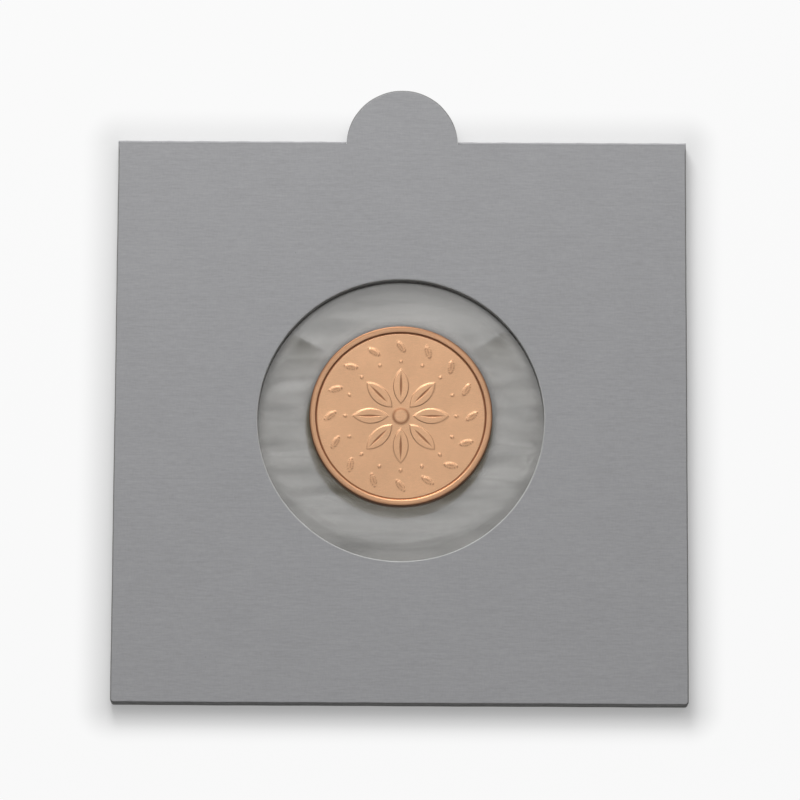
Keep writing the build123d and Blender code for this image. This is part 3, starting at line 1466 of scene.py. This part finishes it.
@dataclass
class Coin:
    """Struck coin: rosette and tilted leaves on the front, laurel ring on the back.

    The sizes of the blank are in metres, and those of the ornament in millimetres.
    """

    layout: Layout
    rim_width: float = 0.50 * MM
    rim_round: float = 0.12 * MM
    rim_draft: float = 0.10 * MM
    rim_steps: int = 6
    crest_shares: Spot = (0.33, 0.66)
    field_depth: float = 0.14 * MM
    turn_count: int = 480
    field_rings: int = 66
    border_rings: int = 12
    border_width: float = 0.40 * MM
    relief: float = 0.042
    leaf_count: int = 16
    leaf: Leaf = Leaf(6.18, 38.0, 1.35, 0.50, vein=Leaf(6.18, 38.0, 0.95, 0.10, 0.08), vein_depth=0.4)
    laurel_count: int = 22
    laurel: Leaf = Leaf(6.18, -38.0, 1.35, 0.50, vein=Leaf(6.18, -38.0, 0.95, 0.10, 0.08), vein_depth=0.4)
    petal_count: int = 8
    petal: Leaf = Leaf(2.65, 0.0, 3.10, 1.35, vein=Leaf(2.75, 0.0, 2.20, 0.22), vein_depth=0.45)
    boss_edge: Spot = (0.85, 0.45)
    bead_middle: float = 4.85
    bead_edge: Spot = (0.17, 0.068)
    ring_middle: float = 5.08
    ring_edge: Spot = (0.14, 0.06)
    field_edge: Spot = (7.2, 7.0)
    groove_middle: float = 7.37
    groove_edge: Spot = (0.10, 0.04)
    groove_depth: float = 0.3
    rim_span: Spot = (7.40, 7.50)
    wall_span: Spot = (7.65, 8.00)
    # Weights of the darkening: tarnish and painted shade on the relief edges, tarnish in the groove, painted
    # shade on the side wall and outer bevel, and a darker outer rim.
    edge_tarnish_and_shade: float = 3.0
    groove_toning: float = 0.85
    coin_side_painted_shade: float = 0.80
    rim_darkening: float = 0.20

    def blank(self, finish: Material) -> Piece:
        """Makes the round blank with raised rims, finely divided on both faces.

        Args:
            finish: the coin's material.

        Returns:
            The blank.
        """
        plan, turns = self.layout, self.turn_count
        crest = (plan.coin_high.z - plan.coin_low.z) / 2
        field = crest - self.field_depth
        inner = plan.coin_radius - self.rim_width
        edge = inner - self.rim_draft
        middle = np.linspace(0.0, edge - self.border_width, self.field_rings + 1)[1:]
        border = np.linspace(edge - self.border_width, edge, self.border_rings + 1)[1:]
        half = [(radius, field) for radius in (*middle, *border)]
        for i in range(1, self.rim_steps + 1):
            t = i / self.rim_steps
            half.append((inner - self.rim_draft * (1.0 - t), field + self.field_depth * t * t * (3 - 2 * t)))
        half += [(inner + share * (self.rim_width - self.rim_round), crest) for share in self.crest_shares]
        for turn in quarter_turn(self.rim_steps):
            out = plan.coin_radius - self.rim_round * (1.0 - math.sin(turn))
            half.append((out, crest - self.rim_round * (1.0 - math.cos(turn))))
        profile = half + [(radius, -z) for radius, z in reversed(half)]
        rings = [np.column_stack([circle(radius, turns), np.full(turns, z)]) for radius, z in profile]
        points = np.vstack([[(0.0, 0.0, field), (0.0, 0.0, -field)]] + rings) + np.array(plan.coin_centre)
        starts = [2 + i * turns for i in range(len(profile))]
        faces: list[Face] = [(0, 2 + i, 2 + (i + 1) % turns) for i in range(turns)]
        for pair in zip(starts, starts[1:]):
            faces += flipped(ring_faces(*pair, turns))
        faces += [(1, starts[-1] + (i + 1) % turns, starts[-1] + i) for i in range(turns)]
        return add_piece("struck_coin", points, faces, (finish,))

    def struck(self, bench: ShapeBench) -> Node:
        """Strikes the relief into both faces and stores where it is darkened by tarnish, painted shade and a
        darker rim.

        Args:
            bench: the tree's bench.

        Returns:
            The node that gives the struck coin.
        """
        given = bench.given
        x, y, z = bench.split(bench.scaled(bench.vector("SUBTRACT", bench.place, given["Centre"]), 1.0 / MM))
        radius, front = x.hypot(y), bench.math("SIGN", z)
        grid = FaceGrid(bench, radius, bench.math("ARCTAN2", y, x))
        out, aside = grid.sector(given["Leaf Count"], self.bead_middle)
        beads, boss = bench.ramp(out.hypot(aside), *self.bead_edge), bench.ramp(radius, *self.boss_edge)
        petals = grid.leaves(given["Petal Count"], self.petal)
        face_front = grid.leaves(given["Leaf Count"], self.leaf).most(petals).most(boss).most(beads)
        ring = grid.band(self.ring_middle, self.ring_edge)
        face_back = grid.leaves(given["Laurel Count"], self.laurel).most(ring)
        mask = bench.math("GREATER_THAN", front, 0.0)
        share = (face_front * mask + face_back * (1.0 - mask)) * bench.ramp(radius, *self.field_edge)
        groove = grid.band(self.groove_middle, self.groove_edge)
        # Tarnish and painted shade at the relief's edges, tarnish in the groove, painted shade on the wall,
        # and a darker rim.
        tarnish_and_shade = (share * (1.0 - share) * self.edge_tarnish_and_shade).most(groove * self.groove_toning)
        tarnish_and_shade = tarnish_and_shade.most(bench.ramp(radius, *self.wall_span) * self.coin_side_painted_shade)
        tarnish_and_shade = tarnish_and_shade.most(bench.ramp(radius, *self.rim_span) * self.rim_darkening)
        height = (share - groove * self.groove_depth) * front * given["Relief"] * MM
        return bench.moved(bench.store(bench.shape, StruckCopper.tarnish_shade_mask, tarnish_and_shade), bench.joined(z=height))

    def build(self, finishes: Finishes) -> Piece:
        """Builds and dresses the coin.

        Args:
            finishes: the part's materials.

        Returns:
            The coin, riding on its own body.
        """
        coin = self.blank(finishes.copper)
        bench = ShapeBench("coin_strike", {
            "Metal": finishes.copper,
            "Centre": self.layout.coin_centre,
            "Relief": self.relief,
            "Leaf Count": float(self.leaf_count),
            "Laurel Count": float(self.laurel_count),
            "Petal Count": float(self.petal_count),
        })
        bench.run(coin, self.struck(bench), "Metal")
        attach(coin, "coin")
        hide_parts("coin")
        return coin


@dataclass
class AdhesiveCoat:
    """Tacky coat on one film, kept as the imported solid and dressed."""

    side: Side

    def build(self, finishes: Finishes) -> Piece:
        """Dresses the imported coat.

        Args:
            finishes: the part's materials.

        Returns:
            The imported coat.
        """
        coat = frame["nodes"][f"{self.side.value}_adhesive"]
        coat.data.materials.clear()
        coat.data.materials.append(finishes.tacky)
        return coat


@dataclass
class Studio:
    """Table, soft light and the camera at the photograph's angle, with angles in degrees."""

    distance: float = 465.7 * MM
    tilt: float = 11.29
    roll: float = 0.288
    lens: float = 240.1
    sensor: float = 36.0
    aim: Triple = (-0.08 * MM, 1.75 * MM, 1.59 * MM)
    floor_half: float = 1.5
    floor_drop: float = 0.01 * MM
    key_distance: float = 0.26
    key_lean: float = 56.0
    key_turn: float = 10.0
    key_size: float = 0.11
    key_power: float = 0.57
    wall_light: Ramp = (-0.6, 0.8, 0.06, 0.38)
    sky_top: float = 0.62
    cap_lean: float = 26.0
    cap_edge: Spot = (62.0, 30.0)
    panel_level: float = 0.78
    panel_edge: Spot = (40.0, 30.0)
    flag_depth: float = 0.90
    flag_edge: Spot = (17.0, 3.0)
    flag_length: Spot = (20.0, 12.0)
    flag_thin: float = 0.58
    clear_layers: int = 32

    def floor(self, finishes: Finishes) -> None:
        """Lays the table under the part.

        Args:
            finishes: the part's materials.
        """
        h, z = self.floor_half, -self.floor_drop
        corners = np.array([(-h, -h, z), (h, -h, z), (h, h, z), (-h, h, z)])
        add_piece("table", corners, [(0, 1, 2, 3)], (finishes.floor,))

    @staticmethod
    def aimed(lean: float, turn: float = 0.0) -> Triple:
        """Unit vector that leans from straight up towards the fold, turned from there towards -X."""
        a, t = math.radians(lean), math.radians(turn)
        return (-math.sin(a) * math.sin(t), math.sin(a) * math.cos(t), math.cos(a))

    def disc(self, bench: Bench, way: object, lean: float, edge: Spot) -> Signal:
        """Smooth disc of sky round a leaning direction.

        Args:
            bench: the sky's bench.
            way: direction that is looked at.
            lean: angle of the disc's middle from straight up.
            edge: angles from its middle where it ends and where it is full.

        Returns:
            1 in the disc and 0 outside it.
        """
        dot = bench.signal(bench.vector("DOT_PRODUCT", way, self.aimed(lean)), "Value")
        return bench.ramp(dot, *np.cos(np.radians(edge)).tolist())

    def sky(self) -> None:
        """Makes the soft light all round: darker walls, a ceiling and a soft panel.

        A long dark flag across the panel keeps its glare off film that lies flat.
        """
        world = bpy.data.worlds.new("soft_room")
        world.use_nodes = True
        world.node_tree.nodes.clear()
        bench = Bench(world.node_tree)
        way = bench.add("ShaderNodeTexCoord").outputs["Generated"]
        aside, across, up = bench.split(way)
        off_axis = abs(bench.math("ARCTAN2", across, up) - math.radians(self.tilt))
        off_middle = abs(bench.math("ARCTAN2", aside, up))
        wall = bench.ramp(across, *self.wall_light)
        ceiling = self.disc(bench, way, self.cap_lean, self.cap_edge)
        panel = self.disc(bench, way, self.tilt, self.panel_edge)
        level = wall + ceiling * (self.sky_top - wall) + panel * self.panel_level
        flag = bench.ramp(off_axis, *map(math.radians, self.flag_edge))
        flag = flag * bench.ramp(off_middle, *map(math.radians, self.flag_length), self.flag_thin, 1.0)
        level = level * (1.0 - flag * self.flag_depth)
        light = bench.add("ShaderNodeBackground", {"Color": (1.0, 1.0, 1.0, 1.0), "Strength": level})
        bench.add("ShaderNodeOutputWorld", {"Surface": light})
        bpy.context.scene.world = world

    def key(self) -> None:
        """Hangs the soft lamp low beyond the fold."""
        lamp = bpy.data.lights.new("soft_key", "AREA")
        lamp.shape = "SQUARE"
        lamp.size = self.key_size
        lamp.energy = self.key_power
        holder = bpy.data.objects.new("soft_key", lamp)
        way = Vector(self.aimed(self.key_lean, self.key_turn))
        holder.location = way * self.key_distance
        holder.rotation_euler = (-way).to_track_quat("-Z", "Y").to_euler()
        bpy.context.scene.collection.objects.link(holder)

    def camera(self) -> None:
        """Sets the camera where the photograph was taken from."""
        data = bpy.data.cameras.new("view")
        data.lens = self.lens
        data.sensor_width = self.sensor
        tilt = math.radians(self.tilt)
        view = bpy.data.objects.new("view", data)
        back = Vector((0.0, -math.sin(tilt), math.cos(tilt)))
        view.location = Vector(self.aim) + back * self.distance
        turned = Matrix.Rotation(tilt, 3, "X") @ Matrix.Rotation(math.radians(self.roll), 3, "Z")
        view.rotation_euler = turned.to_euler()
        bpy.context.scene.collection.objects.link(view)
        bpy.context.scene.camera = view

    def build(self, finishes: Finishes) -> None:
        """Sets up the table, the light and the camera.

        Args:
            finishes: the part's materials.
        """
        self.floor(finishes)
        self.sky()
        self.key()
        self.camera()
        scene = bpy.context.scene
        scene.view_settings.view_transform = "Standard"
        scene.cycles.transparent_max_bounces = self.clear_layers


def main() -> None:
    """Builds the flip piece by piece and then the studio round it."""
    logging.basicConfig(level=logging.INFO, format="%(name)s: %(message)s")
    layout = Layout.read()
    finishes = Finishes()
    makers = [CardPanel(side, layout) for side in Side]
    makers += [FoldCrease(layout)]
    makers += [WindowFilm(side, layout) for side in Side]
    makers += [RimFibres(side, layout) for side in Side]
    makers += [AdhesiveCoat(side) for side in Side]
    makers += [Coin(layout)]
    for maker in makers:
        piece = maker.build(finishes)
        LOG.info("%s: %d faces", piece.name, len(piece.data.polygons))
    Studio().build(finishes)


if __name__ == "__main__":
    main()
